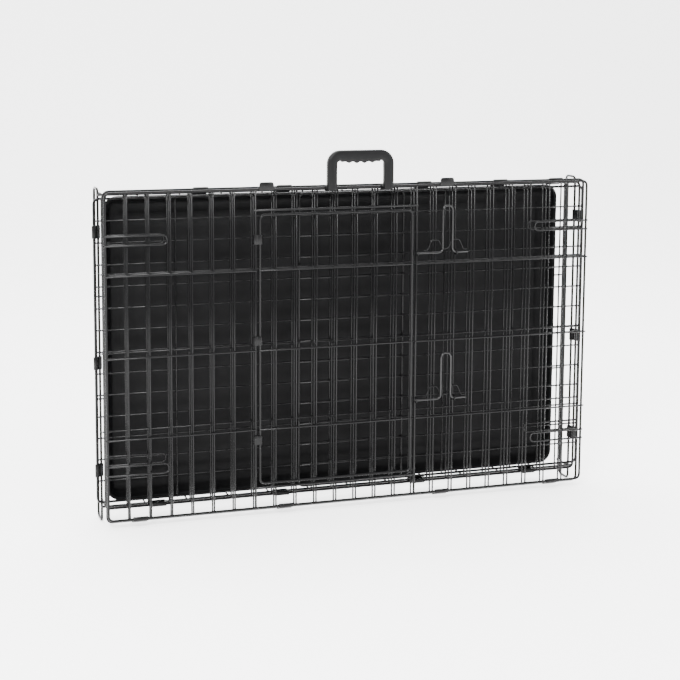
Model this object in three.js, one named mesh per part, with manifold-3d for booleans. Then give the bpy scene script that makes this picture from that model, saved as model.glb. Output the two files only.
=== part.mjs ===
// Folding wire dog crate, folded flat and standing on one long edge.
// Millimetres. +X runs along the crate, -Y is the front of the folded stack, +Z is up.
import * as THREE from "three";
import { mergeVertices } from "three/addons/utils/BufferGeometryUtils.js";
import Module from "manifold-3d";

const wasm = await Module();
wasm.setup();

// Driving dimensions.
const PANEL_HALF = 447; // half the length of the three long panels, to the end rods' centres
const FLOOR_HALF = 450;
const FRAME_R = 2.2; // frame rod radius
const WIRE = 3; // grid wire thickness
const CROSS_Y = 0.5; // cross wires sit this far behind the panel's plane
const LONG_Y = -2.2; // long wires sit this far in front of it
const ROD_SIDES = 6;
const HINGE_PITCH = 14; // distance between folded panels, and between the bores of a hinge clip
const CORNER = 9; // corner radius of a panel frame
const LONG_GAPS = 24; // gaps along a long panel
const TALL_GAPS = 4; // gaps across a panel
const END_GAPS = 14; // gaps along an end panel's hinge rod

const SIDE_B_Y = -56;
const TOP_Y = SIDE_B_Y + HINGE_PITCH;
const SIDE_A_Y = TOP_Y + HINGE_PITCH;
const LIP_Y = SIDE_A_Y + HINGE_PITCH;
const FLOOR_Y = 31;
const END_RIGHT_Y = -18.5; // the end panels lie on the tray, inside the floor's lips
const END_LEFT_Y = -10.5;
const END_ROD_Y = -4.2; // front rod of the floor's end loops, which carries the end panels

const CLIP_R = 3.9; // outer radius of a clip around one rod
const BORE_R = 2.9;
const CLIP_W = 26;
const SIDE_B_Z = 16; // height of the pivot between the top and side panel B
const SIDE_B_TALL = 564;
const TOP_PIVOTS = 566; // between the top panel's two pivots
const STEP = 6; // a hinge clip's far rod stands this far below or above its pivot
const TOP_Z = SIDE_B_Z - STEP;
const TOP_TOP_Z = SIDE_B_Z + TOP_PIVOTS;
const SIDE_A_Z = SIDE_B_Z + HINGE_PITCH;
const SIDE_A_TOP_Z = TOP_TOP_Z - STEP;
const FLOOR_TOP_Z = SIDE_A_Z + 544;
const LOOP_Z0 = 1.905; // the floor's end loops reach down to the ground
const LOOP_Z1 = 583;
const END_Z0 = SIDE_A_Z + 7.2;
const END_Z1 = FLOOR_TOP_Z - 7.2;
const END_AXIS = FLOOR_HALF + 8;
const END_LEFT_LONG = 562;
const END_RIGHT_LONG = 554;

const HANDLE_HALF = 52; // from the middle to the centre of each leg
const HANDLE_TALL = 66;
const HANDLE_R = 24;
const LEG_W = 18;
const LEG_T = 14;

// Material colours.
const BLACK_WIRE = { color: 0x17181a, roughness: 0.38, metalness: 0.5 };
const BLACK_PLASTIC = { color: 0x1b1b1c, roughness: 0.55, metalness: 0 };
const DARK_STEEL = { color: 0x2b2c2e, roughness: 0.4, metalness: 0.8 };

// A closed three.js geometry as a solid.
function solid(geometry) {
  const bare = geometry.clone();
  bare.deleteAttribute("normal");
  bare.deleteAttribute("uv");
  const merged = mergeVertices(bare, 1e-4);
  return new wasm.Manifold(
    new wasm.Mesh({
      numProp: 3,
      vertProperties: new Float32Array(merged.attributes.position.array),
      triVerts: new Uint32Array(merged.index.array),
    }),
  );
}

const join = (list) => list.reduce((sum, one) => sum.add(one));

// A named mesh from a solid.
const crate = new THREE.Group();
function add(name, body, look) {
  const made = body.getMesh();
  const geometry = new THREE.BufferGeometry();
  geometry.setAttribute("position", new THREE.BufferAttribute(made.vertProperties, 3));
  geometry.setIndex(new THREE.BufferAttribute(made.triVerts, 1));
  geometry.computeVertexNormals();
  const mesh = new THREE.Mesh(geometry, new THREE.MeshStandardMaterial(look));
  mesh.name = name;
  crate.add(mesh);
}

// A square wire between two corners of its centre line, along one axis.
function wire(x0, x1, y0, y1, z0, z1) {
  const span = [x1 - x0, y1 - y0, z1 - z0].map((length) => (length === 0 ? WIRE : length));
  const box = new THREE.BoxGeometry(...span);
  box.translate((x0 + x1) / 2, (y0 + y1) / 2, (z0 + z1) / 2);
  return solid(box);
}

// A wire bent along points that all lie in the plane with the given normal, mitred at each bend.
function bent(points, normal, { radius = FRAME_R, sides = ROD_SIDES, closed = false, spin = 0 } = {}) {
  const at = points.map((point) => new THREE.Vector3(...point));
  const count = at.length;
  const n = new THREE.Vector3(...normal);
  const position = [];
  at.forEach((here, i) => {
    const next = closed || i < count - 1 ? at[(i + 1) % count].clone().sub(here).normalize() : null;
    const prior = closed || i > 0 ? here.clone().sub(at[(i + count - 1) % count]).normalize() : null;
    const along = (next ?? prior).clone().add(prior ?? next).normalize();
    const mitre = 1 / along.dot(next ?? prior);
    const side = along.clone().cross(n).multiplyScalar(mitre);
    for (let k = 0; k < sides; k += 1) {
      const turn = spin + (k * 2 * Math.PI) / sides;
      const [u, v] = [radius * Math.cos(turn), radius * Math.sin(turn)];
      position.push(here.x + u * n.x + v * side.x, here.y + u * n.y + v * side.y, here.z + u * n.z + v * side.z);
    }
  });
  const index = [];
  for (let i = 0; i < (closed ? count : count - 1); i += 1) {
    for (let k = 0; k < sides; k += 1) {
      const [a, b] = [i * sides + k, i * sides + ((k + 1) % sides)];
      const [c, d] = [((i + 1) % count) * sides + k, ((i + 1) % count) * sides + ((k + 1) % sides)];
      index.push(a, b, c, b, d, c);
    }
  }
  if (!closed) {
    for (let k = 1; k < sides - 1; k += 1) {
      const last = (count - 1) * sides;
      index.push(0, k + 1, k, last, last + k, last + k + 1);
    }
  }
  return new wasm.Manifold(
    new wasm.Mesh({
      numProp: 3,
      vertProperties: new Float32Array(position),
      triVerts: new Uint32Array(index),
    }),
  );
}
const SQUARE = { radius: WIRE / Math.SQRT2, sides: 4, spin: Math.PI / 4 };

// A straight round rod.
const rod = (from, to, normal = [0, 1, 0]) => bent([from, to], normal);

// A corner of a path in the X-Z plane, cut where the wire is bent.
function bend([x, z], [px, pz], [nx, nz], size) {
  const way = (ox, oz) => {
    const long = Math.hypot(ox - x, oz - z);
    return [x + ((ox - x) / long) * size, z + ((oz - z) / long) * size];
  };
  return [way(px, pz), way(nx, nz)];
}

// A path in the X-Z plane with its inner corners cut, as points in space.
function path(points, y, size) {
  const flat = points.flatMap((point, i) =>
    i === 0 || i === points.length - 1 ? [point] : bend(point, points[i - 1], points[i + 1], size));
  return flat.map(([x, z]) => [x, y, z]);
}

// A rectangular frame of round rod in the X-Z plane, with cut corners where it is bent.
function frame(x0, x1, z0, z1, y, corner = CORNER) {
  const [c, cut] = [corner, 0.3 * corner];
  const loop = [
    [x0 + c, z0], [x1 - c, z0], [x1 - cut, z0 + cut], [x1, z0 + c],
    [x1, z1 - c], [x1 - cut, z1 - cut], [x1 - c, z1], [x0 + c, z1],
    [x0 + cut, z1 - cut], [x0, z1 - c], [x0, z0 + c], [x0 + cut, z0 + cut],
  ];
  return bent(loop.map(([x, z]) => [x, y, z]), [0, 1, 0], { closed: true });
}

const steps = (from, to, gaps) => Array.from({ length: gaps - 1 }, (_, i) => from + ((to - from) * (i + 1)) / gaps);

// Cross wires (along Z) behind long wires (along X), as they are welded.
const crossWires = (xs, z0, z1, y) => xs.map((x) => wire(x, x, y + CROSS_Y, y + CROSS_Y, z0, z1));
const longWires = (zs, x0, x1, y) => zs.map((z) => wire(x0, x1, y + LONG_Y, y + LONG_Y, z, z));

// A flat loop of wire that reaches in from an end rod and locks the end panel's edge.
function lockLoop(side, z, y) {
  const reach = 105;
  const half = 8;
  const outer = side * (PANEL_HALF + 1);
  const inner = side * (PANEL_HALF - reach);
  const points = [[outer, z - half], [inner, z - half], [inner, z + half], [outer, z + half]];
  return bent(path(points, y + LONG_Y, 7), [0, 1, 0], SQUARE);
}

// A clip with one bore for each of two parallel rods; `across` gives the two centres in its own plane.
function clipShape(a, b) {
  const lean = Math.atan2(b[1] - a[1], b[0] - a[0]);
  const outline = new THREE.Shape();
  const turns = 4;
  const ring = [[b, lean - Math.PI / 2], [a, lean + Math.PI / 2]];
  ring.forEach(([centre, start], side) => {
    for (let i = 0; i <= turns; i += 1) {
      const turn = start + (Math.PI * i) / turns;
      const [u, v] = [centre[0] + CLIP_R * Math.cos(turn), centre[1] + CLIP_R * Math.sin(turn)];
      if (side === 0 && i === 0) outline.moveTo(u, v);
      else outline.lineTo(u, v);
    }
  });
  [a, b].forEach(([u, v]) => {
    const hole = new THREE.Path();
    for (let i = 0; i < ROD_SIDES; i += 1) {
      const turn = (-i * 2 * Math.PI) / ROD_SIDES;
      const [hu, hv] = [u + BORE_R * Math.cos(turn), v + BORE_R * Math.sin(turn)];
      if (i === 0) hole.moveTo(hu, hv);
      else hole.lineTo(hu, hv);
    }
    outline.holes.push(hole);
  });
  return outline;
}

// A clip across two rods that run along X.
function clipAlongX(x, [y1, z1], [y2, z2], width = CLIP_W) {
  const shape = clipShape([y1, z1], [y2, z2]);
  const body = new THREE.ExtrudeGeometry(shape, { depth: width, bevelEnabled: false, steps: 1 });
  body.applyMatrix4(new THREE.Matrix4().makeBasis(
    new THREE.Vector3(0, 1, 0), new THREE.Vector3(0, 0, 1), new THREE.Vector3(1, 0, 0)));
  body.translate(x - width / 2, 0, 0);
  return solid(body);
}

// A clip across two rods that run along Z.
function clipAlongZ(z, a, b, width = CLIP_W) {
  const shape = clipShape(a, b);
  const body = new THREE.ExtrudeGeometry(shape, { depth: width, bevelEnabled: false, steps: 1 });
  body.translate(0, 0, z - width / 2);
  return solid(body);
}

const PITCH = (2 * PANEL_HALF) / LONG_GAPS;
const gapCentre = (index) => -PANEL_HALF + PITCH * (index + 0.5);
const longXs = steps(-PANEL_HALF, PANEL_HALF, LONG_GAPS);
const OVERHANG = 4; // how far a wire's end stands past the rod it is welded to

// The floor's flat grid, behind the tray.
const ribXs = steps(-FLOOR_HALF, FLOOR_HALF, 12);
function floorGrid() {
  const out = FLOOR_HALF - FRAME_R - 0.3;
  return join([
    ...ribXs.map((x) => wire(x, x, FLOOR_Y, FLOOR_Y, SIDE_A_Z - WIRE / 2, FLOOR_TOP_Z + WIRE / 2)),
    ...steps(SIDE_A_Z, FLOOR_TOP_Z, 3).map((z) => wire(-out, out, FLOOR_Y - 2.7, FLOOR_Y - 2.7, z, z)),
  ]);
}

// One lip of the floor: the ribs' turned-up ends and the rod that they carry.
function floorLip(z) {
  const back = FLOOR_Y - WIRE / 2 - 0.3;
  const inset = FLOOR_HALF - 6;
  return join([
    rod([-FLOOR_HALF, LIP_Y, z], [FLOOR_HALF, LIP_Y, z]),
    ...ribXs.map((x) => wire(x, x, LIP_Y, back, z, z)),
    ...[-inset, inset].map((x) => rod([x, LIP_Y, z], [x, back, z], [1, 0, 0])),
  ]);
}

// The upright loop at each end of the floor, which the tray slides through.
function floorLoop(x) {
  const [y0, y1] = [END_ROD_Y, FLOOR_Y];
  const [c, cut] = [8, 2.4];
  const loop = [
    [y0 + c, LOOP_Z0], [y1 - c, LOOP_Z0], [y1 - cut, LOOP_Z0 + cut], [y1, LOOP_Z0 + c],
    [y1, LOOP_Z1 - c], [y1 - cut, LOOP_Z1 - cut], [y1 - c, LOOP_Z1], [y0 + c, LOOP_Z1],
    [y0 + cut, LOOP_Z1 - cut], [y0, LOOP_Z1 - c], [y0, LOOP_Z0 + c], [y0 + cut, LOOP_Z0 + cut],
  ];
  return bent(loop.map(([y, z]) => [x, y, z]), [1, 0, 0], { closed: true });
}

// The lock loops of a side panel, two at each end.
const lockLoops = (y, z0, z1) => [-1, 1].flatMap((side) =>
  [0.155, 0.857].map((share) => lockLoop(side, z0 + share * (z1 - z0), y)));

// A plain long panel: frame, cross wires, long wires and whatever else is welded to it.
function longPanel(y, z0, z1, extras = []) {
  return join([
    ...extras,
    frame(-PANEL_HALF, PANEL_HALF, z0, z1, y),
    ...crossWires(longXs, z0, z1, y),
    ...longWires(steps(z0, z1, TALL_GAPS), -PANEL_HALF - OVERHANG, PANEL_HALF + OVERHANG, y),
  ]);
}

const SIDE_B_TOP_Z = SIDE_B_Z + SIDE_B_TALL;
const DOOR_X0 = -PANEL_HALF + 7 * PITCH; // jamb rods stand on two grid lines
const DOOR_X1 = -PANEL_HALF + 15 * PITCH;
const DOOR_Z0 = SIDE_B_Z + 36;
const DOOR_Z1 = SIDE_B_TOP_Z - 36;
const DOOR_GAP = 8;
const BOLT_Y = SIDE_B_Y - 6.4;
const BOLT_Z = [SIDE_B_Z + 0.31 * SIDE_B_TALL, SIDE_B_Z + 0.785 * SIDE_B_TALL];
const BOLT_R = 2;
const sideBZs = steps(SIDE_B_Z, SIDE_B_TOP_Z, TALL_GAPS);

// A staple around a bolt, welded to the wire behind it.
function staple(x, z) {
  const outline = new THREE.Shape();
  const hole = new THREE.Path();
  const [back, front, half] = [SIDE_B_Y + 0.6, BOLT_Y - 4.2, 5];
  outline.moveTo(back, z - half).lineTo(back, z + half).lineTo(front, z + half).lineTo(front, z - half);
  const [inBack, inFront, inHalf] = [BOLT_Y + 2.5, BOLT_Y - 2.5, 2.6];
  hole.moveTo(inBack, z - inHalf).lineTo(inFront, z - inHalf).lineTo(inFront, z + inHalf).lineTo(inBack, z + inHalf);
  outline.holes.push(hole);
  const body = new THREE.ExtrudeGeometry(outline, { depth: 4, bevelEnabled: false, steps: 1 });
  body.applyMatrix4(new THREE.Matrix4().makeBasis(
    new THREE.Vector3(0, 1, 0), new THREE.Vector3(0, 0, 1), new THREE.Vector3(1, 0, 0)));
  body.translate(x - 2, 0, 0);
  return solid(body);
}

// The front-most panel: the same grid, framed around the door's opening.
function doorSidePanel() {
  const y = SIDE_B_Y;
  const plain = longXs.filter((x) => x < DOOR_X0 - 1 || x > DOOR_X1 + 1);
  const cut = longXs.filter((x) => x > DOOR_X0 + 1 && x < DOOR_X1 - 1);
  const out = PANEL_HALF + OVERHANG;
  return join([
    frame(-PANEL_HALF, PANEL_HALF, SIDE_B_Z, SIDE_B_TOP_Z, y),
    ...crossWires(plain, SIDE_B_Z, SIDE_B_TOP_Z, y),
    ...crossWires(cut, SIDE_B_Z, DOOR_Z0, y),
    ...crossWires(cut, DOOR_Z1, SIDE_B_TOP_Z, y),
    ...longWires(sideBZs, -out, DOOR_X0, y),
    ...longWires(sideBZs, DOOR_X1, out, y),
    ...[DOOR_X0, DOOR_X1].map((x) => rod([x, y, SIDE_B_Z], [x, y, SIDE_B_TOP_Z])),
    ...[DOOR_Z0, DOOR_Z1].map((z) => rod([DOOR_X0, y, z], [DOOR_X1, y, z])),
    ...lockLoops(y, SIDE_B_Z, SIDE_B_TOP_Z),
    ...BOLT_Z.flatMap((z) => [DOOR_X1, DOOR_X1 + 2 * PITCH].map((x) => staple(x, z))),
  ]);
}

function sideDoor() {
  const [x0, x1] = [DOOR_X0 + DOOR_GAP, DOOR_X1 - DOOR_GAP];
  const [z0, z1] = [DOOR_Z0 + DOOR_GAP, DOOR_Z1 - DOOR_GAP];
  const inner = longXs.filter((x) => x > DOOR_X0 + 1 && x < DOOR_X1 - 1);
  return join([
    frame(x0, x1, z0, z1, SIDE_B_Y),
    ...crossWires(inner, z0, z1, SIDE_B_Y),
    ...longWires(sideBZs, x0, x1, SIDE_B_Y),
  ]);
}

// A slide bolt bent from one wire, with a tall U for the finger.
function slideBolt(z) {
  const [left, right] = [DOOR_X1 - 1, DOOR_X1 + 2 * PITCH + 22];
  const [u0, u1, tall] = [DOOR_X1 + 1.28 * PITCH, DOOR_X1 + 1.79 * PITCH, 84];
  const points = [[left, z], [u0, z], [u0, z + tall], [u1, z + tall], [u1, z], [right, z]];
  return bent(path(points, BOLT_Y, 5), [0, 1, 0], { radius: BOLT_R });
}

// An end panel: its hinge rod is at axisX, and `reach` runs from there along the tray.
function endPanel(axisX, reach, y) {
  const far = axisX + reach;
  const [left, right] = [Math.min(axisX, far), Math.max(axisX, far)];
  return join([
    frame(left, right, END_Z0, END_Z1, y),
    ...steps(left, right, TALL_GAPS).map((x) =>
      wire(x, x, y + LONG_Y, y + LONG_Y, END_Z0 - 1.8, END_Z1 + 1.8)),
    ...steps(END_Z0, END_Z1, END_GAPS).map((z) => wire(left, right, y + CROSS_Y, y + CROSS_Y, z, z)),
  ]);
}

// A shallow tray with rounded corners and a rolled rim.
function roundedRect(x0, x1, z0, z1, r) {
  const shape = new THREE.Shape();
  const corners = [[x1 - r, z0 + r, -Math.PI / 2], [x1 - r, z1 - r, 0], [x0 + r, z1 - r, Math.PI / 2],
    [x0 + r, z0 + r, Math.PI]];
  corners.forEach(([cx, cz, start], corner) => {
    for (let i = 0; i <= 3; i += 1) {
      const turn = start + (Math.PI / 2) * (i / 3);
      const [u, v] = [cx + r * Math.cos(turn), cz + r * Math.sin(turn)];
      if (corner === 0 && i === 0) shape.moveTo(u, v);
      else shape.lineTo(u, v);
    }
  });
  return shape;
}
function slab(shape, yFront, yBack) {
  const body = new THREE.ExtrudeGeometry(shape, { depth: yBack - yFront, bevelEnabled: false, steps: 1 });
  body.applyMatrix4(new THREE.Matrix4().makeBasis(
    new THREE.Vector3(1, 0, 0), new THREE.Vector3(0, 0, 1), new THREE.Vector3(0, -1, 0)));
  body.translate(0, yBack, 0);
  return solid(body);
}
const PAN = { x0: -440, x1: 415, z0: 34.5, z1: 569.5, front: 0.5, back: 26.5, wall: 4, base: 2.5, r: 24 };
function pan() {
  const { x0, x1, z0, z1, front, back, wall, base, r } = PAN;
  const outer = slab(roundedRect(x0, x1, z0, z1, r), front, back);
  const inner = slab(roundedRect(x0 + wall, x1 - wall, z0 + wall, z1 - wall, r - wall), front - 5, back - base);
  return outer.subtract(inner);
}

// The carry handle: a moulded arch with a scalloped finger grip and a ring under each leg.
function carryHandle() {
  const legY = [SIDE_B_Y - 5 - LEG_T, SIDE_B_Y - 5];
  const z0 = SIDE_B_TOP_Z - 4;
  const z1 = SIDE_B_TOP_Z + HANDLE_TALL;
  const half = HANDLE_HALF + LEG_W / 2;
  const inHalf = HANDLE_HALF - LEG_W / 2;
  const arch = new THREE.Shape();
  arch.moveTo(-half, z0).lineTo(-inHalf, z0);
  const under = z1 - 19;
  arch.lineTo(-inHalf, under - 10).lineTo(-inHalf + 8, under);
  const waves = 24;
  for (let i = 1; i < waves; i += 1) {
    const u = -inHalf + 8 + ((2 * inHalf - 16) * i) / waves;
    const scallop = 3.2 * Math.abs(Math.sin((4 * Math.PI * i) / waves));
    arch.lineTo(u, under - 3.2 + scallop);
  }
  arch.lineTo(inHalf - 8, under).lineTo(inHalf, under - 10).lineTo(inHalf, z0).lineTo(half, z0);
  [[half - HANDLE_R, 0], [-half + HANDLE_R, Math.PI / 2]].forEach(([cx, start]) => {
    for (let i = 0; i <= 4; i += 1) {
      const turn = start + (Math.PI / 2) * (i / 4);
      arch.lineTo(cx + HANDLE_R * Math.cos(turn), z1 - HANDLE_R + HANDLE_R * Math.sin(turn));
    }
  });
  const rings = [-1, 1].map((side) => {
    const outline = new THREE.Shape();
    const hole = new THREE.Path();
    const corner = 5;
    outline.moveTo(SIDE_B_Y - 8, SIDE_B_TOP_Z - corner).lineTo(SIDE_B_Y + 2, SIDE_B_TOP_Z - corner);
    outline.lineTo(SIDE_B_Y + corner, SIDE_B_TOP_Z - 2).lineTo(SIDE_B_Y + corner, SIDE_B_TOP_Z + 2);
    outline.lineTo(SIDE_B_Y + 2, SIDE_B_TOP_Z + corner).lineTo(SIDE_B_Y - 8, SIDE_B_TOP_Z + corner);
    for (let i = 0; i < ROD_SIDES; i += 1) {
      const turn = (-i * 2 * Math.PI) / ROD_SIDES;
      const [u, v] = [SIDE_B_Y + BORE_R * Math.cos(turn), SIDE_B_TOP_Z + BORE_R * Math.sin(turn)];
      if (i === 0) hole.moveTo(u, v);
      else hole.lineTo(u, v);
    }
    outline.holes.push(hole);
    const body = new THREE.ExtrudeGeometry(outline, { depth: LEG_W, bevelEnabled: false, steps: 1 });
    body.applyMatrix4(new THREE.Matrix4().makeBasis(
      new THREE.Vector3(0, 1, 0), new THREE.Vector3(0, 0, 1), new THREE.Vector3(1, 0, 0)));
    body.translate(side * HANDLE_HALF - LEG_W / 2, 0, 0);
    return solid(body);
  });
  return join([slab(arch, legY[0], legY[1]), ...rings]);
}

// A catch: a flat tab on the free edge of the door side panel.
function catchTab(x) {
  const [y, z] = [SIDE_B_Y, SIDE_B_TOP_Z];
  const outline = new THREE.Shape();
  outline.moveTo(y - 4.6, z - 5).lineTo(y + 3.9, z - 3.9).lineTo(y + 3.9, z + 3.9).lineTo(y - 3.4, z + 3.9);
  outline.lineTo(y - 3.4, z + 13).lineTo(y - 4.6, z + 13);
  const hole = new THREE.Path();
  for (let i = 0; i < ROD_SIDES; i += 1) {
    const turn = (-i * 2 * Math.PI) / ROD_SIDES;
    const [u, v] = [y + BORE_R * Math.cos(turn), z + BORE_R * Math.sin(turn)];
    if (i === 0) hole.moveTo(u, v);
    else hole.lineTo(u, v);
  }
  outline.holes.push(hole);
  const body = new THREE.ExtrudeGeometry(outline, { depth: CLIP_W, bevelEnabled: false, steps: 1 });
  body.applyMatrix4(new THREE.Matrix4().makeBasis(
    new THREE.Vector3(0, 1, 0), new THREE.Vector3(0, 0, 1), new THREE.Vector3(1, 0, 0)));
  body.translate(x - CLIP_W / 2, 0, 0);
  return solid(body);
}

add("floor_panel", floorGrid(), BLACK_WIRE);
add("floor_lip_low", floorLip(SIDE_A_Z), BLACK_WIRE);
add("floor_lip_high", floorLip(FLOOR_TOP_Z), BLACK_WIRE);
add("floor_loop_left", floorLoop(-FLOOR_HALF), BLACK_WIRE);
add("floor_loop_right", floorLoop(FLOOR_HALF), BLACK_WIRE);
add("floor_pan", pan(), BLACK_PLASTIC);
add("side_panel_a", longPanel(SIDE_A_Y, SIDE_A_Z, SIDE_A_TOP_Z, lockLoops(SIDE_A_Y, SIDE_A_Z, SIDE_A_TOP_Z)),
  BLACK_WIRE);
add("top_panel", longPanel(TOP_Y, TOP_Z, TOP_TOP_Z), BLACK_WIRE);
add("side_panel_b", doorSidePanel(), BLACK_WIRE);
add("side_door", sideDoor(), BLACK_WIRE);
add("end_panel_left", endPanel(-END_AXIS, END_LEFT_LONG, END_LEFT_Y), BLACK_WIRE);
add("end_panel_right", endPanel(END_AXIS, -END_RIGHT_LONG, END_RIGHT_Y), BLACK_WIRE);
add("carry_handle", carryHandle(), BLACK_PLASTIC);
BOLT_Z.forEach((z, i) => add(`slide_bolt_${i + 1}`, slideBolt(z), DARK_STEEL));

const clips = (name, gaps, from, to) =>
  gaps.forEach((gap, i) => add(`${name}_${i + 1}`, clipAlongX(gapCentre(gap), from, to), DARK_STEEL));
clips("floor_clip", [2, 8, 15, 21], [LIP_Y, SIDE_A_Z], [SIDE_A_Y, SIDE_A_Z]);
clips("top_clip", [4, 8, 15, 19, 22], [SIDE_A_Y, SIDE_A_TOP_Z], [TOP_Y, TOP_TOP_Z]);
clips("side_clip", [1, 8, 16, 22], [TOP_Y, TOP_Z], [SIDE_B_Y, SIDE_B_Z]);
[7, 16].forEach((gap, i) => add(`catch_tab_${i + 1}`, catchTab(gapCentre(gap)), DARK_STEEL));
[0.14, 0.5, 0.86].forEach((share, i) => {
  const z = DOOR_Z0 + share * (DOOR_Z1 - DOOR_Z0) + 18;
  add(`door_clip_${i + 1}`, clipAlongZ(z, [DOOR_X0, SIDE_B_Y], [DOOR_X0 + DOOR_GAP, SIDE_B_Y], 16), DARK_STEEL);
});
[["left", -1, END_LEFT_Y], ["right", 1, END_RIGHT_Y]].forEach(([side, way, y]) => {
  [1, 6, 12].forEach((gap, i) => {
    const z = END_Z0 + ((END_Z1 - END_Z0) / END_GAPS) * (gap + 0.5);
    const body = clipAlongZ(z, [way * FLOOR_HALF, END_ROD_Y], [way * END_AXIS, y], 22);
    add(`end_clip_${side}_${i + 1}`, body, DARK_STEEL);
  });
});

// The origin is the middle of the folded crate's footprint.
const box = new THREE.Box3().setFromObject(crate);
crate.position.set(0, -(box.min.y + box.max.y) / 2, 0);

export default crate;
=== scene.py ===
import math

import bpy
from mathutils import Matrix, Vector


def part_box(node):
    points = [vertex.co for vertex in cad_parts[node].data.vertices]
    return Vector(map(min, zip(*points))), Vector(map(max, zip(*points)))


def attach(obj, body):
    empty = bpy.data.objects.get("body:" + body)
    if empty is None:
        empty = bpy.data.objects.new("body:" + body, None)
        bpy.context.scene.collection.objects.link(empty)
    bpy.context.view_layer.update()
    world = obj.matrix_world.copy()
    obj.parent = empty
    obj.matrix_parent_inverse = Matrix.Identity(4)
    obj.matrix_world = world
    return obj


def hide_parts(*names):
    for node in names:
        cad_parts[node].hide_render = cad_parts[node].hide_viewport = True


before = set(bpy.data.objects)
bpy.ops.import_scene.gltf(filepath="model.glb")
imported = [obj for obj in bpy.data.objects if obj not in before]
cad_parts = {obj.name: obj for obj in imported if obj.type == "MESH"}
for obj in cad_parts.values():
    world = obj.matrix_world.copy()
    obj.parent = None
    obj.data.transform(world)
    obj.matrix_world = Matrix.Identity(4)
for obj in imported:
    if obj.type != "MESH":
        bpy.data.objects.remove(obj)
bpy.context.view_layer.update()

# Dimensions in millimetres, in the crate's own frame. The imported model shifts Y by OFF.
MM = 1000  # in a metre
PAN_X0, PAN_X1, PAN_Z0, PAN_Z1 = -440, 415, 34.5, 569.5
PAN_FRONT, PAN_CORNER = 0.5, 24  # the front of the rim, and the corners' radius
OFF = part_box("floor_pan")[0].y * MM - PAN_FRONT

PANEL_HALF, FLOOR_HALF = 447, 450  # half lengths, to the end rods' centres
CORNER = 9  # radius of a panel frame's corners
FRAME_R, JAMB_R, WIRE_R, LOCK_R, THIN_R = 2.2, 2.0, 1.45, 1.7, 1.25
CROSS_Y, LONG_Y = 1.5, -1.25  # cross wires lie behind a panel's plane and long wires in front of it
OVERHANG, CROSS_OVER = 4, 1.6  # how far the ends of long and cross wires stand past a frame rod's centre
LONG_GAPS, TALL_GAPS, END_GAPS, RIB_GAPS = 24, 4, 14, 12
PITCH = 2 * PANEL_HALF / LONG_GAPS
GRID_XS = [-PANEL_HALF + PITCH * i for i in range(1, LONG_GAPS)]

# Planes and heights of the panels, from the front of the folded stack to its back.
SIDE_B_Y, TOP_Y, SIDE_A_Y, LIP_Y, FLOOR_Y = -56, -42, -28, -14, 31
END_RIGHT_Y, END_LEFT_Y, END_ROD_Y = -18.5, -10.5, -4.2
SIDE_B_Z, SIDE_B_TOP = 16, 580
TOP_Z, TOP_TOP = 10, 582
SIDE_A_Z, SIDE_A_TOP = 30, 576
FLOOR_TOP_Z = 574
LOOP_Z0, LOOP_Z1 = 2.2, 583
END_Z0, END_Z1 = 37.2, 566.8
END_AXIS = FLOOR_HALF + 8
END_LEFT_LONG, END_RIGHT_LONG = 562, 554

# The side door and its bolts.
DOOR_X0, DOOR_X1 = -PANEL_HALF + 7 * PITCH, -PANEL_HALF + 15 * PITCH
DOOR_MARGIN = 36
DOOR_Z0, DOOR_Z1 = SIDE_B_Z + DOOR_MARGIN, SIDE_B_TOP - DOOR_MARGIN
DOOR_GAP = 8  # between the door's frame and the rods round its opening
BOLT_R, BOLT_BEND, BOLT_TALL, BOLT_PAST = 2.0, 8.8, 84, 22
BOLT_U = (1.28, 1.79)  # where the legs of the finger's U stand, in pitches from the opening
BOLT_Y = SIDE_B_Y - 6.4
BOLT_Z = [SIDE_B_Z + share * (SIDE_B_TOP - SIDE_B_Z) for share in (0.31, 0.785)]
FAR_STAPLE_X = DOOR_X1 + 2 * PITCH

# The lock loops of a side panel.
LOCK_SHARES = (0.155, 0.857)  # how far up the panel they stand
LOCK_REACH, LOCK_HALF = 105, 8  # how far they reach in, and half their width


def spread(start, stop, gaps):
    """The places between start and stop that divide them into equal gaps."""
    return [start + (stop - start) * i / gaps for i in range(1, gaps)]


class Shape:
    """Vertices and faces of one piece, in millimetres."""

    def __init__(self):
        self.verts, self.faces = [], []

    def add(self, verts, faces):
        base = len(self.verts)
        self.verts += verts
        self.faces += [tuple(i + base for i in f) for f in faces]

    def rings(self, rings, closed=False):
        """A skin over rings of equally many points, capped at both ends unless it is closed."""
        n, m = len(rings[0]), len(rings)
        verts = [p for ring in rings for p in ring]
        faces = []
        for i in range(m if closed else m - 1):
            for k in range(n):
                a, b = i * n + k, i * n + (k + 1) % n
                c, d = ((i + 1) % m) * n + k, ((i + 1) % m) * n + (k + 1) % n
                faces.append((a, b, d, c))
        if not closed:
            faces.append(tuple(range(n - 1, -1, -1)))
            faces.append(tuple((m - 1) * n + k for k in range(n)))
        self.add(verts, faces)


TIP_LONG, TIP_WIDE = 0.34, 0.72  # a wire's rounded end, as shares of its radius


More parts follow.
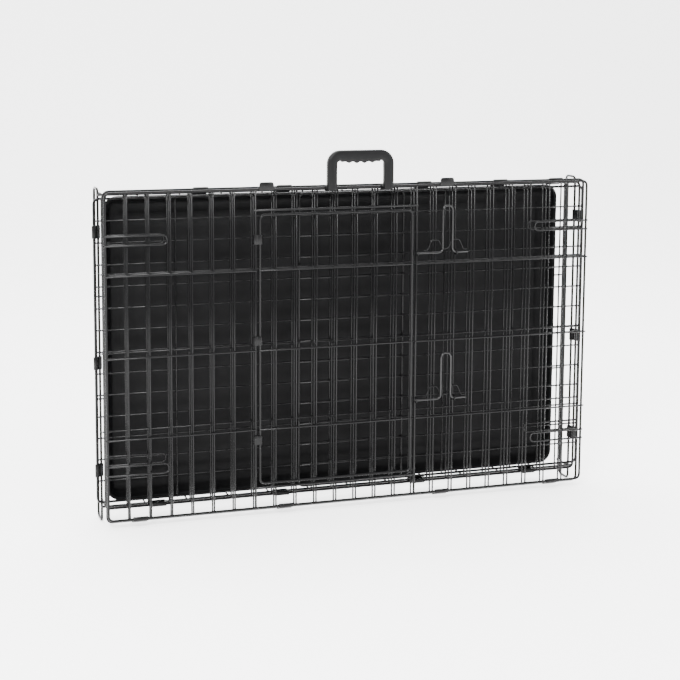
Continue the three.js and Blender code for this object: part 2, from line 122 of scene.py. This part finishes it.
def tube(shape, points, r, normal=(0, 1, 0), sides=12, closed=False):
    """A round wire along points that all lie in one plane, with its cut ends slightly rounded."""
    n = Vector(normal).normalized()
    at = [Vector(p) for p in points]
    count = len(at)
    rings = []
    for i, here in enumerate(at):
        ahead = (at[(i + 1) % count] - here).normalized() if closed or i < count - 1 else None
        back = (here - at[i - 1]).normalized() if closed or i > 0 else None
        along = ((ahead or back) + (back or ahead)).normalized()
        side = along.cross(n) / max(along.dot(ahead or back), 0.3)
        scales = [(0, 1)]
        if not closed and i == 0:
            scales = [(-TIP_LONG * r, TIP_WIDE), (0, 1)]
        if not closed and i == count - 1:
            scales = [(0, 1), (TIP_LONG * r, TIP_WIDE)]
        for push, wide in scales:
            ring = []
            for k in range(sides):
                t = 2 * math.pi * k / sides
                spoke = (n * math.cos(t) + side * math.sin(t)) * r * wide
                ring.append(tuple(here + along * push + spoke))
            rings.append(ring)
    shape.rings(rings, closed)


FULLNESS = 0.9  # how far a bend is drawn out towards its corner


def arcs(points, radius, steps, closed=False):
    """Points in a plane, given as pairs, with each corner replaced by a curve."""
    out = []
    count = len(points)
    for i, p in enumerate(points):
        if not closed and i in (0, count - 1):
            out.append(Vector(p))
            continue
        here, prior, after = Vector(p), Vector(points[i - 1]), Vector(points[(i + 1) % count])
        into, away = (prior - here).normalized(), (after - here).normalized()
        half = math.acos(max(-1, min(1, into.dot(away)))) / 2
        back = min(radius / math.tan(half), (prior - here).length * 0.49, (after - here).length * 0.49)
        start, stop = here + into * back, here + away * back
        for k in range(steps + 1):
            t = k / steps
            corner = here * 2 * t * (1 - t) * FULLNESS
            chord = (start + stop) * t * (1 - t) * (1 - FULLNESS)
            out.append(start * (1 - t) ** 2 + corner + chord + stop * t * t)
    return out


def flat_path(points, y, radius, steps, closed=False):
    """Rounded (x, z) points at depth y."""
    return [(p.x, y, p.y) for p in arcs(points, radius, steps, closed)]


BEAD_R, BEAD_DEEP = 2.3, 1.5


def bead(shape, x, y, z):
    """The small swelling where two wires are spot-welded."""
    rings = []
    for v in (-0.8, 0, 0.8):
        r, depth = BEAD_R * math.cos(v), y - BEAD_DEEP * math.sin(v)
        ring = []
        for k in range(8):
            t = 2 * math.pi * k / 8
            ring.append((x + r * math.cos(t), depth, z + r * math.sin(t)))
        rings.append(ring)
    shape.rings(rings)


def frame_loop(shape, x0, x1, z0, z1, y):
    points = flat_path([(x0, z0), (x1, z0), (x1, z1), (x0, z1)], y, CORNER, closed=True, steps=8)
    tube(shape, points, FRAME_R, sides=14, closed=True)


def cross_wire(shape, x, z0, z1, y, over=CROSS_OVER):
    tube(shape, [(x, y + CROSS_Y, z0 - over), (x, y + CROSS_Y, z1 + over)], WIRE_R, sides=10)


def long_wire(shape, z, x0, x1, y):
    tube(shape, [(x0, y + LONG_Y, z), (x1, y + LONG_Y, z)], WIRE_R, sides=10)


def welds(shape, xs, zs, y):
    for x in xs:
        for z in zs:
            bead(shape, x, y + 0.1, z)


# How much a surface varies, and over what size of pattern.
TINT_LOW, TINT_HIGH, TINT_SCALE = 0.8, 1.25, 14
SHEEN_SPREAD, SHEEN_SCALE = 0.08, 60
RELIEF_STRENGTH = 0.35


def material(name, colour, rough, grain, depth, spec):
    """A painted or moulded surface: base colour, roughness and relief all vary a little."""
    m = bpy.data.materials.new(name)
    m.use_nodes = True
    t = m.node_tree
    t.nodes.clear()
    out = t.nodes.new("ShaderNodeOutputMaterial")
    skin = t.nodes.new("ShaderNodeBsdfPrincipled")
    where = t.nodes.new("ShaderNodeTexCoord")
    skin.inputs["Metallic"].default_value = 0.0
    skin.inputs["Specular IOR Level"].default_value = spec

    def noise(scale, detail, roughness=0.55):
        n = t.nodes.new("ShaderNodeTexNoise")
        n.inputs["Scale"].default_value = scale
        n.inputs["Detail"].default_value = detail
        n.inputs["Roughness"].default_value = roughness
        t.links.new(where.outputs["Object"], n.inputs["Vector"])
        return n

    tint = t.nodes.new("ShaderNodeValToRGB")
    tint.color_ramp.elements[0].position = 0.3
    tint.color_ramp.elements[0].color = (*[c * TINT_LOW for c in colour], 1)
    tint.color_ramp.elements[1].position = 0.75
    tint.color_ramp.elements[1].color = (*[c * TINT_HIGH for c in colour], 1)
    t.links.new(noise(TINT_SCALE, 3).outputs["Fac"], tint.inputs["Fac"])
    t.links.new(tint.outputs["Color"], skin.inputs["Base Color"])
    sheen = t.nodes.new("ShaderNodeMapRange")
    sheen.inputs["To Min"].default_value = rough - SHEEN_SPREAD
    sheen.inputs["To Max"].default_value = rough + SHEEN_SPREAD
    t.links.new(noise(SHEEN_SCALE, 4).outputs["Fac"], sheen.inputs["Value"])
    t.links.new(sheen.outputs["Result"], skin.inputs["Roughness"])
    relief = t.nodes.new("ShaderNodeBump")
    relief.inputs["Strength"].default_value = RELIEF_STRENGTH
    relief.inputs["Distance"].default_value = depth
    t.links.new(noise(grain, 3, 0.6).outputs["Fac"], relief.inputs["Height"])
    t.links.new(relief.outputs["Normal"], skin.inputs["Normal"])
    t.links.new(skin.outputs["BSDF"], out.inputs["Surface"])
    return m


WIRE = material("wire_coat", (0.0022, 0.0022, 0.0024), 0.2, 900, 0.0001, spec=0.17)
CLIP = material("clip_coat", (0.003, 0.003, 0.0032), 0.28, 700, 0.0001, spec=0.17)
LATCH = material("latch_coat", (0.0028, 0.0028, 0.003), 0.22, 900, 0.0001, spec=0.32)
PAN = material("pan_plastic", (0.003, 0.003, 0.0032), 0.42, 1500, 0.0003, spec=0.07)
GRIP = material("grip_plastic", (0.0026, 0.0026, 0.0028), 0.4, 1300, 0.0002, spec=0.14)


def piece(name, shape, look, body, smooth=40):
    """Makes the object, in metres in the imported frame, in place of the CAD node of that name."""
    mesh = bpy.data.meshes.new("look_" + name)
    mesh.from_pydata([(x / MM, (y + OFF) / MM, z / MM) for x, y, z in shape.verts], [], shape.faces)
    mesh.validate()
    mesh.materials.append(look)
    mesh.shade_smooth()
    mesh.set_sharp_from_angle(angle=math.radians(smooth))
    obj = bpy.data.objects.new("look_" + name, mesh)
    bpy.context.scene.collection.objects.link(obj)
    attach(obj, body)
    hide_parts(name)


# Long panels.
def lock_loops(s, z0, z1, y):
    """Four long flat loops that reach in from the end rods."""
    for side in (-1, 1):
        for share in LOCK_SHARES:
            z = z0 + share * (z1 - z0)
            outer, inner = side * (PANEL_HALF + 2), side * (PANEL_HALF - LOCK_REACH)
            low, high = z - LOCK_HALF, z + LOCK_HALF
            loop = [(outer, low), (inner, low), (inner, high), (outer, high)]
            tube(s, flat_path(loop, y - 2.4, LOCK_HALF - 0.1, steps=8), LOCK_R)


def long_panel(z0, z1, y, loops=False):
    s = Shape()
    frame_loop(s, -PANEL_HALF, PANEL_HALF, z0, z1, y)
    rows = spread(z0, z1, TALL_GAPS)
    for x in GRID_XS:
        cross_wire(s, x, z0, z1, y)
    for z in rows:
        long_wire(s, z, -PANEL_HALF - OVERHANG, PANEL_HALF + OVERHANG, y)
    welds(s, GRID_XS, rows, y)
    if loops:
        lock_loops(s, z0, z1, y)
    return s


piece("side_panel_a", long_panel(SIDE_A_Z, SIDE_A_TOP, SIDE_A_Y, loops=True), WIRE, "side_a")
piece("top_panel", long_panel(TOP_Z, TOP_TOP, TOP_Y), WIRE, "top")


def staple(s, x, z):
    """A loop of wire round a bolt, welded to the wire behind it."""
    back, front, half = SIDE_B_Y + 0.6, BOLT_Y - 3.6, 3.8
    loop = arcs([(back, z - half), (front, z - half), (front, z + half), (back, z + half)], 3.7, steps=8)
    tube(s, [(x, p.x, p.y) for p in loop], THIN_R, normal=(1, 0, 0), sides=10)


def bolt_guide(s, z):
    """The stepped wire above a bolt, with two humps side by side."""
    foot, crest, dip = 4, 22, 6
    profile = [(14, foot), (20, foot), (28, crest), (42, crest), (50, dip)]
    profile += [(60, dip), (68, crest), (82, crest), (90, foot), (96, foot)]
    points = flat_path([(DOOR_X1 + u, z + v) for u, v in profile], SIDE_B_Y - 1.3, 3.5, steps=4)
    tube(s, points, THIN_R, sides=10)


# The front-most panel and its door.
DOOR_XS = [x for x in GRID_XS if DOOR_X0 + 1 < x < DOOR_X1 - 1]


def door_side():
    s, y = Shape(), SIDE_B_Y
    frame_loop(s, -PANEL_HALF, PANEL_HALF, SIDE_B_Z, SIDE_B_TOP, y)
    rows = spread(SIDE_B_Z, SIDE_B_TOP, TALL_GAPS)
    plain = [x for x in GRID_XS if x < DOOR_X0 - 1 or x > DOOR_X1 + 1]
    for x in plain:
        cross_wire(s, x, SIDE_B_Z, SIDE_B_TOP, y)
    for x in DOOR_XS:
        cross_wire(s, x, SIDE_B_Z, DOOR_Z0, y)
        cross_wire(s, x, DOOR_Z1, SIDE_B_TOP, y)
    for z in rows:
        long_wire(s, z, -PANEL_HALF - OVERHANG, DOOR_X0 + 1, y)
        long_wire(s, z, DOOR_X1 - 1, PANEL_HALF + OVERHANG, y)
    welds(s, plain, rows, y)
    for x in (DOOR_X0, DOOR_X1):
        tube(s, [(x, y, SIDE_B_Z), (x, y, SIDE_B_TOP)], JAMB_R)
    for z in (DOOR_Z0, DOOR_Z1):
        tube(s, [(DOOR_X0 - JAMB_R, y, z), (DOOR_X1 + JAMB_R, y, z)], JAMB_R)
    lock_loops(s, SIDE_B_Z, SIDE_B_TOP, y)
    for z in BOLT_Z:
        staple(s, DOOR_X1, z)
        staple(s, FAR_STAPLE_X, z)
        bolt_guide(s, z)
    return s


piece("side_panel_b", door_side(), WIRE, "side_b")


def side_door():
    s, y = Shape(), SIDE_B_Y
    x0, x1 = DOOR_X0 + DOOR_GAP, DOOR_X1 - DOOR_GAP
    z0, z1 = DOOR_Z0 + DOOR_GAP, DOOR_Z1 - DOOR_GAP
    frame_loop(s, x0, x1, z0, z1, y)
    rows = spread(SIDE_B_Z, SIDE_B_TOP, TALL_GAPS)
    for x in DOOR_XS:
        cross_wire(s, x, z0, z1, y, over=1.2)
    for z in rows:
        long_wire(s, z, x0 - 0.6, x1 + 0.6, y)
    welds(s, DOOR_XS, rows, y)
    return s


piece("side_door", side_door(), WIRE, "side_door")


# End panels, laid on the tray.
def end_panel(axis_x, reach, y):
    s = Shape()
    a, b = min(axis_x, axis_x + reach), max(axis_x, axis_x + reach)
    frame_loop(s, a, b, END_Z0, END_Z1, y)
    xs, zs = spread(a, b, TALL_GAPS), spread(END_Z0, END_Z1, END_GAPS)
    for z in zs:
        tube(s, [(a - 1, y + CROSS_Y, z), (b + 1, y + CROSS_Y, z)], WIRE_R, sides=10)
    for x in xs:
        ends = (END_Z0 - CROSS_OVER, END_Z1 + CROSS_OVER)
        tube(s, [(x, y + LONG_Y, z) for z in ends], WIRE_R, sides=10)
    welds(s, xs, zs, y)
    return s


piece("end_panel_left", end_panel(-END_AXIS, END_LEFT_LONG, END_LEFT_Y), WIRE, "floor")
piece("end_panel_right", end_panel(END_AXIS, -END_RIGHT_LONG, END_RIGHT_Y), WIRE, "floor")


# Floor: flat grid, turned-up rib ends with their lip rods, and an upright loop at each end.
RIB_XS = spread(-FLOOR_HALF, FLOOR_HALF, RIB_GAPS)
BEND = 7  # radius of a rib's turn from the grid into the lip
LIP_INSET, LOOP_CORNER = 6, 8


def floor_grid():
    s = Shape()
    for x in RIB_XS:
        tube(s, [(x, FLOOR_Y, SIDE_A_Z + BEND), (x, FLOOR_Y, FLOOR_TOP_Z - BEND)], WIRE_R, sides=10)
    out, front = FLOOR_HALF - FRAME_R, FLOOR_Y - 2.5
    for z in spread(SIDE_A_Z, FLOOR_TOP_Z, 3):
        tube(s, [(-out, front, z), (out, front, z)], WIRE_R, sides=10)
        for x in RIB_XS:
            bead(s, x, FLOOR_Y - 1.2, z)
    return s


def floor_lip(z, way):
    """A lip at height z, where way is the direction from there to the middle of the grid."""
    s = Shape()
    rib = arcs([(LIP_Y - 1, z), (FLOOR_Y, z), (FLOOR_Y, z + way * (BEND + 3))], BEND, steps=7)
    for x in RIB_XS:
        tube(s, [(x, p.x, p.y) for p in rib], WIRE_R, normal=(1, 0, 0), sides=10)
        bead(s, x, LIP_Y + 0.6, z)
    for x in (LIP_INSET - FLOOR_HALF, FLOOR_HALF - LIP_INSET):
        tube(s, [(x, LIP_Y, z), (x, FLOOR_Y - 1.8, z)], FRAME_R, normal=(1, 0, 0))
    tube(s, [(-FLOOR_HALF - 1, LIP_Y, z), (FLOOR_HALF + 1, LIP_Y, z)], FRAME_R)
    return s


def floor_loop(x):
    s = Shape()
    corners = [(END_ROD_Y, LOOP_Z0), (FLOOR_Y, LOOP_Z0), (FLOOR_Y, LOOP_Z1), (END_ROD_Y, LOOP_Z1)]
    loop = arcs(corners, LOOP_CORNER, closed=True, steps=8)
    tube(s, [(x, p.x, p.y) for p in loop], FRAME_R, normal=(1, 0, 0), sides=14, closed=True)
    return s


piece("floor_panel", floor_grid(), WIRE, "floor")
piece("floor_lip_low", floor_lip(SIDE_A_Z, 1), WIRE, "floor")
piece("floor_lip_high", floor_lip(FLOOR_TOP_Z, -1), WIRE, "floor")
piece("floor_loop_left", floor_loop(-FLOOR_HALF), WIRE, "floor")
piece("floor_loop_right", floor_loop(FLOOR_HALF), WIRE, "floor")


# The tray.
def tray_ring(inset, y):
    """The tray's outline, inset from its widest, at depth y."""
    x0, x1, z0, z1 = PAN_X0 + inset, PAN_X1 - inset, PAN_Z0 + inset, PAN_Z1 - inset
    r = max(PAN_CORNER - inset, 5)
    corners = ((x1 - r, z0 + r, -90), (x1 - r, z1 - r, 0), (x0 + r, z1 - r, 90), (x0 + r, z0 + r, 180))
    ring = []
    for cx, cz, start in corners:
        for k in range(11):
            t = math.radians(start + 9 * k)
            ring.append((cx + r * math.cos(t), y, cz + r * math.sin(t)))
    return ring


def tray():
    s = Shape()
    back = [(60, 26.5), (22, 26.5), (15, 25.6), (10.5, 23), (3.4, 6.2), (2.2, 4.6)]
    rim = [(0.5, 4.2), (0.0, 3.6), (0.0, 1.3), (0.6, 0.6), (1.6, 0.5), (3.8, 0.7), (4.8, 1.6), (5.6, 3.6)]
    wall = [(13.2, 20), (15.4, 22.6), (18.5, 23.8), (23, 24.2)]
    base = [(30, 24.2), (31.5, 23.4), (33, 23.1), (46, 23.1), (47.5, 23.4), (49, 24.2), (60, 24.2)]
    profile = back + rim + wall + base
    s.rings([tray_ring(inset, y) for inset, y in profile])
    return s


piece("floor_pan", tray(), PAN, "pan", smooth=50)


# Sheet clips round two rods.
CLIP_OUT, CLIP_IN = 3.85, 2.75  # radii of the sheet's two faces round a rod
CLIP_WIDE, DOOR_CLIP_WIDE, END_CLIP_WIDE = 26, 16, 22
DOOR_CLIP_SHARES, DOOR_CLIP_RISE = (0.14, 0.5, 0.86), 18
END_CLIP_GAPS = (1, 6, 12)


def clip_outline(gap, radius, pinch):
    """A closed outline round two circles that are gap apart, drawn in at the waist."""
    out = []
    for centre, start, way in ((gap, -90, 1), (0, 90, -1)):
        for k in range(13):
            t = math.radians(start + 15 * k)
            out.append((centre + radius * math.cos(t), radius * math.sin(t)))
        for k in range(1, 10):
            t = k / 10
            share = 1 - t if way > 0 else t
            waist = radius - pinch * math.sin(math.pi * t) ** 2
            out.append((gap * share, way * waist))
    return out


def clip(place, a, b, width):
    """A band of sheet metal round the rods at a and b.

    place maps (u, v, w) to a point, with w along the rods.
    """
    s = Shape()
    gap = math.hypot(b[0] - a[0], b[1] - a[1])
    cos, sin = (b[0] - a[0]) / gap, (b[1] - a[1]) / gap
    pinch = min(1.2, gap * 0.09)

    def ring(radius, w):
        made = clip_outline(gap, radius, pinch)
        return [place(a[0] + u * cos - v * sin, a[1] + u * sin + v * cos, w) for u, v in made]

    half = width / 2
    rings = [
        ring(CLIP_OUT, -half + 0.5), ring(CLIP_OUT, half - 0.5), ring(3.7, half - 0.12), ring(3.4, half),
        ring(2.95, half), ring(CLIP_IN, half - 0.3), ring(CLIP_IN, -half + 0.3), ring(2.95, -half),
        ring(3.4, -half), ring(3.7, -half + 0.12),
    ]
    s.rings(rings, closed=True)
    return s


def along_x(x):
    return lambda u, v, w: (x + w, u, v)


def along_z(z):
    return lambda u, v, w: (u, v, z - w)


def gap_x(gap):
    return -PANEL_HALF + PITCH * (gap + 0.5)


def clips_x(name, gaps, a, b, body):
    for i, gap in enumerate(gaps):
        piece(f"{name}_{i + 1}", clip(along_x(gap_x(gap)), a, b, CLIP_WIDE), CLIP, body)


clips_x("floor_clip", (2, 8, 15, 21), (LIP_Y, SIDE_A_Z), (SIDE_A_Y, SIDE_A_Z), "floor")
clips_x("top_clip", (4, 8, 15, 19, 22), (SIDE_A_Y, SIDE_A_TOP), (TOP_Y, TOP_TOP), "side_a")
clips_x("side_clip", (1, 8, 16, 22), (TOP_Y, TOP_Z), (SIDE_B_Y, SIDE_B_Z), "top")
for i, share in enumerate(DOOR_CLIP_SHARES):
    z = DOOR_Z0 + share * (DOOR_Z1 - DOOR_Z0) + DOOR_CLIP_RISE
    made = clip(along_z(z), (DOOR_X0, SIDE_B_Y), (DOOR_X0 + DOOR_GAP, SIDE_B_Y), DOOR_CLIP_WIDE)
    piece(f"door_clip_{i + 1}", made, CLIP, "side_b")
for side, way, y in (("left", -1, END_LEFT_Y), ("right", 1, END_RIGHT_Y)):
    for i, gap in enumerate(END_CLIP_GAPS):
        z = END_Z0 + (END_Z1 - END_Z0) / END_GAPS * (gap + 0.5)
        made = clip(along_z(z), (way * FLOOR_HALF, END_ROD_Y), (way * END_AXIS, y), END_CLIP_WIDE)
        piece(f"end_clip_{side}_{i + 1}", made, CLIP, "floor")


# Catch tabs: a strip rolled round the free rod, with a flat tongue standing up.
TAB_HALF, TAB_ROLL_R, SHEET_HALF = 13, 3.3, 0.5
TAB_EDGE = 0.4  # width of the bevel along the strip's edges


def catch_tab(x):
    s = Shape()
    path = []
    for a in range(100, -181, -15):
        t = math.radians(a)
        path.append((SIDE_B_Y + TAB_ROLL_R * math.cos(t), SIDE_B_TOP + TAB_ROLL_R * math.sin(t), TAB_HALF))
    tongue = SIDE_B_Y - 4.0
    for rise, half in ((3, TAB_HALF), (9, TAB_HALF), (11.4, 12.2), (12.7, 10.4), (13, 8.6)):
        path.append((tongue, SIDE_B_TOP + rise, half))
    rings = []
    for i, (u, v, half) in enumerate(path):
        a, b = path[max(i - 1, 0)], path[min(i + 1, len(path) - 1)]
        du, dv = b[0] - a[0], b[1] - a[1]
        size = math.hypot(du, dv)
        nu, nv = -dv / size * SHEET_HALF, du / size * SHEET_HALF
        inner = half - TAB_EDGE
        face = [(-half, 0.5), (-inner, 1), (inner, 1), (half, 0.5)]
        outline = face + [(across, -out) for across, out in reversed(face)]
        rings.append([(x + across, u + nu * out, v + nv * out) for across, out in outline])
    s.rings(rings)
    return s


for i, gap in enumerate((7, 16)):
    piece(f"catch_tab_{i + 1}", catch_tab(gap_x(gap)), CLIP, "side_b")


# Slide bolts.
def slide_bolt(z):
    """One bent wire: a rod along X with a tall U for the finger."""
    s = Shape()
    left, right = DOOR_X1 - 1, FAR_STAPLE_X + BOLT_PAST
    u0, u1 = (DOOR_X1 + share * PITCH for share in BOLT_U)
    top = z + BOLT_TALL
    points = [(left, z), (u0, z), (u0, top), (u1, top), (u1, z), (right, z)]
    tube(s, flat_path(points, BOLT_Y, BOLT_BEND, steps=10), BOLT_R, sides=14)
    return s


for i, body in enumerate(("bolt_lower", "bolt_upper")):
    piece(f"slide_bolt_{i + 1}", slide_bolt(BOLT_Z[i]), LATCH, body)


# Carry handle: a moulded arch with a scalloped underside, on two eyes round the rod.
HANDLE_HALF, HANDLE_INNER = 61, 43  # from the middle to a leg's outer and inner faces
HANDLE_TOP, HANDLE_FOOT = SIDE_B_TOP + 66, SIDE_B_TOP - 4
HANDLE_R, HANDLE_INNER_R = 24, 7  # radii of the arch's corners
HANDLE_Y, HANDLE_DEPTH = SIDE_B_Y - 12, 14
GRIP_TALL, GRIP_SWELL = 19.8, 3.6  # the bar's height at the legs, and how much taller it gets in between
SCALLOPS, SCALLOP_DEEP = 5, 3.2
EYE_X, EYE_BORE = 52, 2.9


def grip_stations():
    """Outer and inner edge of the arch, from the left leg's foot to the right one's."""
    shoulder = HANDLE_TOP - HANDLE_R
    out = []
    for k in range(9):
        z = HANDLE_FOOT + (shoulder - HANDLE_FOOT) * k / 8
        out.append(((-HANDLE_HALF, z), (-HANDLE_INNER - 0.4 * math.sin(math.pi * k / 8), z)))
    for k in range(1, 13):
        t = math.radians(180 - 7.5 * k)
        c, d = math.cos(t), math.sin(t)
        outer = (-HANDLE_HALF + HANDLE_R + HANDLE_R * c, shoulder + HANDLE_R * d)
        inner_x = -HANDLE_INNER + HANDLE_INNER_R + HANDLE_INNER_R * c
        inner_z = shoulder + 1.5 + HANDLE_INNER_R * d * 0.6
        out.append((outer, (inner_x, inner_z)))
    turned = len(out)
    for k in range(1, 64):
        t = k / 64
        x_out = -HANDLE_HALF + HANDLE_R + (2 * HANDLE_HALF - 2 * HANDLE_R) * t
        x_in = -HANDLE_INNER + HANDLE_INNER_R + (2 * HANDLE_INNER - 2 * HANDLE_INNER_R) * t
        swell = math.sin(math.pi * t) ** 0.5
        dip = SCALLOP_DEEP * abs(math.sin(SCALLOPS * math.pi * t)) ** 1.3
        out.append(((x_out, HANDLE_TOP), (x_in, HANDLE_TOP - GRIP_TALL - GRIP_SWELL * swell + dip * swell)))
    for (ox, oz), (ix, iz) in reversed(out[:turned]):
        out.append(((-ox, oz), (-ix, iz)))
    return out


def rounded_square(count, power):
    """Points round a square with rounded corners that reaches from -1 to 1."""
    out = []
    for k in range(count):
        t = 2 * math.pi * k / count
        c, d = math.cos(t), math.sin(t)
        out.append((math.copysign(abs(c) ** power, c), math.copysign(abs(d) ** power, d)))
    return out


def shrink(ring, rise, by):
    """The ring drawn in towards its middle, and moved up by rise."""
    mx = sum(p[0] for p in ring) / len(ring)
    return [(mx + (p[0] - mx) * by, HANDLE_Y + (p[1] - HANDLE_Y) * by, p[2] + rise) for p in ring]


def handle_arch(s):
    section = rounded_square(24, 0.5)
    rings = []
    for (ox, oz), (ix, iz) in grip_stations():
        cx, cz, hx, hz = (ox + ix) / 2, (oz + iz) / 2, (ox - ix) / 2, (oz - iz) / 2
        rings.append([(cx + hx * c, HANDLE_Y + HANDLE_DEPTH / 2 * d, cz + hz * c) for c, d in section])
    first, last = rings[0], rings[-1]
    start = [shrink(first, 0.1, 0.8), shrink(first, 0.5, 0.93)]
    stop = [shrink(last, 0.5, 0.93), shrink(last, 0.1, 0.8)]
    s.rings(start + rings[1:-1] + stop)


def handle_eye(s, x):
    """A ring round the rod, and the bridge from it to the leg in front."""
    eye = []
    outside = [(-9, 4.2), (-8.4, 4.8), (-7.6, 5.0), (7.6, 5.0), (8.4, 4.8), (9, 4.2)]
    for along, radius in outside + [(9, EYE_BORE), (-9, EYE_BORE)]:
        ring = []
        for k in range(20):
            t = 2 * math.pi * k / 20
            ring.append((x + along, SIDE_B_Y + radius * math.cos(t), SIDE_B_TOP + radius * math.sin(t)))
        eye.append(ring)
    s.rings(eye, closed=True)
    bridge = []
    section = rounded_square(16, 0.4)
    for ahead, tall in ((2.9, 3.6), (4.5, 4.6), (7.5, 4.9)):
        bridge.append([(x + 8.6 * c, SIDE_B_Y - ahead, SIDE_B_TOP + tall * d) for c, d in section])
    s.rings(bridge)


def carry_handle():
    s = Shape()
    handle_arch(s)
    for side in (-1, 1):
        handle_eye(s, side * EYE_X)
    return s


piece("carry_handle", carry_handle(), GRIP, "handle", smooth=60)


# Stage: a pale sweep, soft lights and the camera. Places are in metres.
FLOOR_NEAR, FLOOR_FAR, SWEEP_R, WALL_TOP, SWEEP_HALF = -9.0, 3.0, 2.5, 9.0, 12.0


def sweep_floor():
    rows = [(FLOOR_NEAR, 0.0), (FLOOR_FAR, 0.0)]
    for k in range(1, 13):
        t = math.radians(90 * k / 12)
        rows.append((FLOOR_FAR + SWEEP_R * math.sin(t), SWEEP_R - SWEEP_R * math.cos(t)))
    rows.append((FLOOR_FAR + SWEEP_R, WALL_TOP))
    verts = [(x, y, z) for y, z in rows for x in (-SWEEP_HALF, SWEEP_HALF)]
    faces = [(2 * i, 2 * i + 1, 2 * i + 3, 2 * i + 2) for i in range(len(rows) - 1)]
    mesh = bpy.data.meshes.new("stage_sweep")
    mesh.from_pydata(verts, [], faces)
    mesh.shade_smooth()
    m = bpy.data.materials.new("stage_white")
    m.use_nodes = True
    skin = m.node_tree.nodes["Principled BSDF"]
    skin.inputs["Base Color"].default_value = (0.97, 0.97, 0.97, 1)
    skin.inputs["Roughness"].default_value = 0.9
    skin.inputs["Emission Color"].default_value = (1, 1, 1, 1)
    skin.inputs["Emission Strength"].default_value = 1.8
    mesh.materials.append(m)
    obj = bpy.data.objects.new("stage_sweep", mesh)
    bpy.context.scene.collection.objects.link(obj)


def light(name, where, target, size, power):
    data = bpy.data.lights.new(name, "AREA")
    data.shape = "SQUARE"
    data.size = size
    data.energy = power
    obj = bpy.data.objects.new(name, data)
    obj.location = where
    obj.rotation_mode = "QUATERNION"
    obj.rotation_quaternion = (Vector(target) - Vector(where)).to_track_quat("-Z", "Y")
    bpy.context.scene.collection.objects.link(obj)


sweep_floor()
light("key", (-1.6, -2.6, 2.6), (0, 0, 0.3), 0.9, 260)
light("fill", (3.2, -2.6, 1.8), (0, 0, 0.3), 2.4, 110)
light("over", (0.0, 0.6, 3.6), (0, 0, 0.2), 3.0, 260)

world = bpy.data.worlds.new("studio")
bpy.context.scene.world = world
world.use_nodes = True
world.node_tree.nodes["Background"].inputs["Color"].default_value = (1, 1, 1, 1)
world.node_tree.nodes["Background"].inputs["Strength"].default_value = 1.4

# The camera stands in front of the door side panel, turned to the right, tipped down and rolled a little.
AZ, EL, ROLL = math.radians(17.70), math.radians(7.205), math.radians(0.222)
CAM_X, CAM_AHEAD, CAM_RISE = -868.4, 2473.1, 814.9  # millimetres, from the middle of that panel's lower edge

cam_data = bpy.data.cameras.new("camera")
cam = bpy.data.objects.new("camera", cam_data)
bpy.context.scene.collection.objects.link(cam)
forward = Vector((math.sin(AZ) * math.cos(EL), math.cos(AZ) * math.cos(EL), -math.sin(EL)))
right = forward.cross(Vector((0, 0, 1))).normalized()
up = right.cross(forward)
cam_right = right * math.cos(ROLL) + up * math.sin(ROLL)
cam_up = up * math.cos(ROLL) - right * math.sin(ROLL)
cam.location = (CAM_X / MM, (-CAM_AHEAD + SIDE_B_Y + OFF) / MM, (CAM_RISE + SIDE_B_Z) / MM)
axes = [cam_right, cam_up, -forward]
cam.rotation_mode = "QUATERNION"
cam.rotation_quaternion = Matrix(axes).transposed().to_quaternion()
cam_data.sensor_width = 36
cam_data.lens = 79.41
cam_data.shift_x = 0.0371
cam_data.shift_y = -0.1585
cam_data.dof.use_dof = False
cam_data.clip_end = 50
bpy.context.scene.camera = cam
